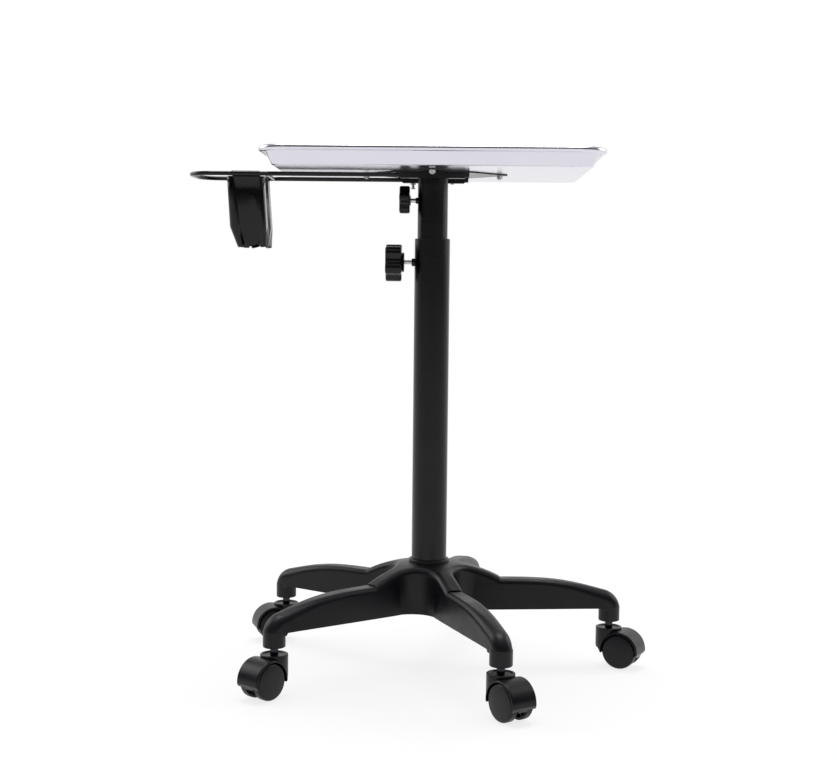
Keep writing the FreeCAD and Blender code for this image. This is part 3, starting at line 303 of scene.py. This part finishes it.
# The lips are drawn out of the top edge and spun over the rods.
hook_radius = 0.0038
rod_height = (hoop_low.z + hoop_high.z) / 2
rod_y = (hoop_high.y - hoop_low.y) / 2 - 0.003
for side in (-1, 1):
    wall_y = sleeve_y + side * sleeve_half
    pick("EDGE", lambda e: (min(v.co.z for v in e.verts) > sleeve_top - 0.0001
                            and abs(middle(e).y - wall_y) < 0.0005
                            and sleeve_left + 0.009 < middle(e).x < sleeve_right - 0.004))
    lip_start = rod_y - hook_radius - sleeve_half
    bpy.ops.mesh.extrude_region_move(
        TRANSFORM_OT_translate={"value": (0.0, side * lip_start * 0.6, 0.0006)})
    bpy.ops.mesh.extrude_region_move(
        TRANSFORM_OT_translate={"value": (0.0, side * lip_start * 0.4, rod_height - sleeve_top - 0.0006)})
    bpy.ops.mesh.spin(steps=8, angle=-side * math.pi, center=(0.0, sleeve_y + side * rod_y, rod_height),
                      axis=(-1.0, 0.0, 0.0))

# The body leans and narrows on its way down; then the folds gather its foot.
for height, length_share, width_share, lean in (
    (sleeve_fold, 1.01, 0.975, 0.0043), (sleeve_foot + 0.001, 0.8, 0.83, 0.009),
    (sleeve_foot, 0.79, 0.815, 0.009), (sleeve_top - 0.02, 1.0, 0.995, 0.001),
):
    pick("VERT", lambda v: abs(v.co.z - height) < 0.0002)
    mesh = bmesh.from_edit_mesh(holster.data)
    for vertex in [v for v in mesh.verts if v.select]:
        vertex.co.x = sleeve_x + lean + (vertex.co.x - sleeve_x) * length_share
        vertex.co.y = sleeve_y + (vertex.co.y - sleeve_y) * width_share
    bmesh.update_edit_mesh(holster.data)
fold_x = sleeve_x + 0.0043
foot_x = sleeve_x + 0.009
foot_half = sleeve_length * 0.8 / 2
for side in (-1, 1):
    foot_y = sleeve_y + side * sleeve_half * 0.815
    fold_y = sleeve_y + side * sleeve_half * 0.975
    for place, shift in (
        ((foot_x - 0.53 * foot_half, foot_y, sleeve_foot), (0.0, -side * 0.0045, 0.0046)),
        ((foot_x - 0.38 * foot_half, foot_y, sleeve_foot), (0.0, side * 0.0012, -0.0008)),
        ((foot_x + 0.06 * foot_half, foot_y, sleeve_foot), (0.0, -side * 0.0006, 0.0014)),
        ((foot_x + 0.46 * foot_half, foot_y, sleeve_foot), (0.0, -side * 0.005, 0.0046)),
        ((foot_x + 0.72 * foot_half, foot_y, sleeve_foot), (0.0, -side * 0.001, -0.0006)),
        ((fold_x - 0.53 * sleeve_length / 2, fold_y, sleeve_fold), (0.0017, -side * 0.0002, 0.002)),
        ((fold_x + 0.46 * sleeve_length / 2, fold_y, sleeve_fold), (0.0095, 0.0, 0.0)),
        ((fold_x + 0.72 * sleeve_length / 2, fold_y, sleeve_fold), (0.0042, 0.0, 0.0)),
    ):
        pick("VERT", lambda v: (v.co - Vector(place)).length < 0.0016)
        bpy.ops.transform.translate(value=shift)
    for end, foot_reach in ((-1, -foot_half), (1, foot_half)):
        for share, shift in ((0.62, (-end * 0.003, 0.0, 0.0046)), (0.42, (end * 0.0005, 0.0, -0.0006))):
            place = Vector((foot_x + foot_reach, sleeve_y + side * share * sleeve_half * 0.82, sleeve_foot))
            pick("VERT", lambda v: (v.co - place).length < 0.0016)
            bpy.ops.transform.translate(value=shift)

# The gusset: a fold that runs down the right side, behind the sharp front corner.
gusset_y = sleeve_y + 0.3 * sleeve_half
pick("VERT", lambda v: v.co.x > fold_x + 0.3 * sleeve_length and abs(v.co.y - gusset_y) < 0.0025)
bpy.ops.transform.translate(value=(-0.0032, 0.0, 0.0))
bpy.ops.mesh.select_all(action="SELECT")
bpy.ops.mesh.normals_make_consistent(inside=False)
bpy.ops.object.mode_set(mode="OBJECT")
wall = holster.modifiers.new("wall", "SOLIDIFY")
wall.thickness = sleeve_wall
wall.offset = -1.0
rounding = holster.modifiers.new("rounding", "BEVEL")
rounding.width = 0.0003
rounding.segments = 2
rounding.limit_method = "ANGLE"
rounding.angle_limit = math.radians(30)
apply_modifiers(holster)
bpy.ops.object.shade_smooth_by_angle(angle=math.radians(34))

# Thin polypropylene is glossy, with long soft waves where it shrank in the mould.
holster_plastic = moulded_plastic("moulded_gloss_polypropylene", "#070709", "#0c0c0f", 0.12, 0.22, 6.0)
holster.data.materials.append(holster_plastic)
dress(holster_plastic, "holster_plastic", "holster")
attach(holster, "holder")
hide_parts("holster")

# Studio: a pale floor that fades into a white room, soft lamps at both sides and overhead.
bpy.ops.object.select_all(action="DESELECT")
bpy.ops.mesh.primitive_plane_add(size=40.0, location=(0.0, 0.0, -0.0005))
floor = bpy.context.active_object
floor.name = "studio_floor"
pale_floor = bpy.data.materials.new("matt_pale_floor")
pale_floor.use_nodes = True
floor_shader = pale_floor.node_tree.nodes["Principled BSDF"]
floor_shader.inputs["Base Color"].default_value = linear("#f2f2f3")
floor_shader.inputs["Roughness"].default_value = 0.9
glow = add_node(pale_floor, "ShaderNodeEmission", {"Color": (1.0, 1.0, 1.0, 1.0), "Strength": 1.0}, {})
rays = add_node(pale_floor, "ShaderNodeLightPath", {}, {})
floor_place = add_node(pale_floor, "ShaderNodeTexCoord", {}, {}).outputs["Object"]
distance = add_node(pale_floor, "ShaderNodeVectorMath", {"operation": "LENGTH"}, {0: floor_place})
fade = add_node(pale_floor, "ShaderNodeMapRange",
                {"From Min": 0.5, "From Max": 1.4, "To Min": 0.8, "To Max": 1.0},
                {"Value": distance.outputs["Value"]})
seen_or_mirrored = add_node(pale_floor, "ShaderNodeMath", {"operation": "MAXIMUM"},
                            {0: rays.outputs["Is Camera Ray"], 1: rays.outputs["Is Glossy Ray"]})
glow_share = add_node(pale_floor, "ShaderNodeMath", {"operation": "MULTIPLY"},
                      {0: seen_or_mirrored.outputs[0], 1: fade.outputs[0]})
floor_mix = add_node(pale_floor, "ShaderNodeMixShader", {},
                     {0: glow_share.outputs[0], 1: floor_shader.outputs[0], 2: glow.outputs[0]})
pale_floor.node_tree.links.new(floor_mix.outputs[0],
                               pale_floor.node_tree.nodes["Material Output"].inputs["Surface"])
floor.data.materials.append(pale_floor)

room = bpy.data.worlds.new("studio_room")
room.use_nodes = True
bpy.context.scene.world = room
air = room.node_tree.nodes["Background"]
air.inputs["Color"].default_value = (1.0, 1.0, 1.0, 1.0)
direction = add_node(room, "ShaderNodeTexCoord", {}, {})
axes = add_node(room, "ShaderNodeSeparateXYZ", {}, {0: direction.outputs["Generated"]})
depth = add_node(room, "ShaderNodeMapRange",
                 {"From Min": -0.1, "From Max": 0.7, "To Min": 0.03, "To Max": 1.0},
                 {"Value": axes.outputs["Y"]})
overhead = add_node(room, "ShaderNodeMapRange",
                    {"From Min": 0.45, "From Max": 0.85, "To Min": 1.0, "To Max": 0.2},
                    {"Value": axes.outputs["Z"]})
above = add_node(room, "ShaderNodeMapRange",
                 {"From Min": 0.35, "From Max": 0.9, "To Min": 0.0, "To Max": 0.55},
                 {"Value": axes.outputs["Z"]})
behind = add_node(room, "ShaderNodeMath", {"operation": "MULTIPLY"},
                  {0: depth.outputs[0], 1: overhead.outputs[0]})
level = add_node(room, "ShaderNodeMath", {"operation": "MAXIMUM"},
                 {0: behind.outputs[0], 1: above.outputs[0]})
seen = add_node(room, "ShaderNodeLightPath", {}, {})
strength = add_node(room, "ShaderNodeMix", {"data_type": "FLOAT", 3: 1.0},
                    {0: seen.outputs["Is Camera Ray"], 2: level.outputs[0]})
room.node_tree.links.new(strength.outputs[0], air.inputs["Strength"])

for name, place, size, watts in (
    ("left_softbox", (-2.2, 0.6, 1.5), 1.4, 16.0),
    ("right_softbox", (2.3, 0.7, 1.5), 1.4, 16.0),
    ("top_softbox", (0.0, 0.2, 2.7), 1.8, 70.0),
):
    lamp = bpy.data.objects.new(name, bpy.data.lights.new(name, "AREA"))
    lamp.data.shape = "SQUARE"
    lamp.data.size = size
    lamp.data.energy = watts
    lamp.location = place
    lamp.rotation_euler = (Vector((0.0, 0.0, 0.4)) - Vector(place)).to_track_quat("-Z", "Y").to_euler()
    bpy.context.scene.collection.objects.link(lamp)

# Camera: below the tray and in front of the post, as in the photograph.
yaw, pitch, roll = 0.0207, 0.0745, 0.0105
ahead = Vector((-math.sin(yaw) * math.cos(pitch), math.cos(yaw) * math.cos(pitch), -math.sin(pitch)))
right = ahead.cross(Vector((0.0, 0.0, 1.0))).normalized()
up = right.cross(ahead)
tilted_right = right * math.cos(roll) + up * math.sin(roll)
tilted_up = up * math.cos(roll) - right * math.sin(roll)
camera = bpy.data.objects.new("camera", bpy.data.cameras.new("camera"))
camera.data.sensor_width = 36.0
camera.data.lens = 61.42
camera.matrix_world = Matrix((
    (tilted_right.x, tilted_up.x, -ahead.x, 0.0375),
    (tilted_right.y, tilted_up.y, -ahead.y, -2.0177),
    (tilted_right.z, tilted_up.z, -ahead.z, 0.5439),
    (0.0, 0.0, 0.0, 1.0),
))
bpy.context.scene.collection.objects.link(camera)
bpy.context.scene.camera = camera
bpy.context.scene.view_settings.view_transform = "Standard"
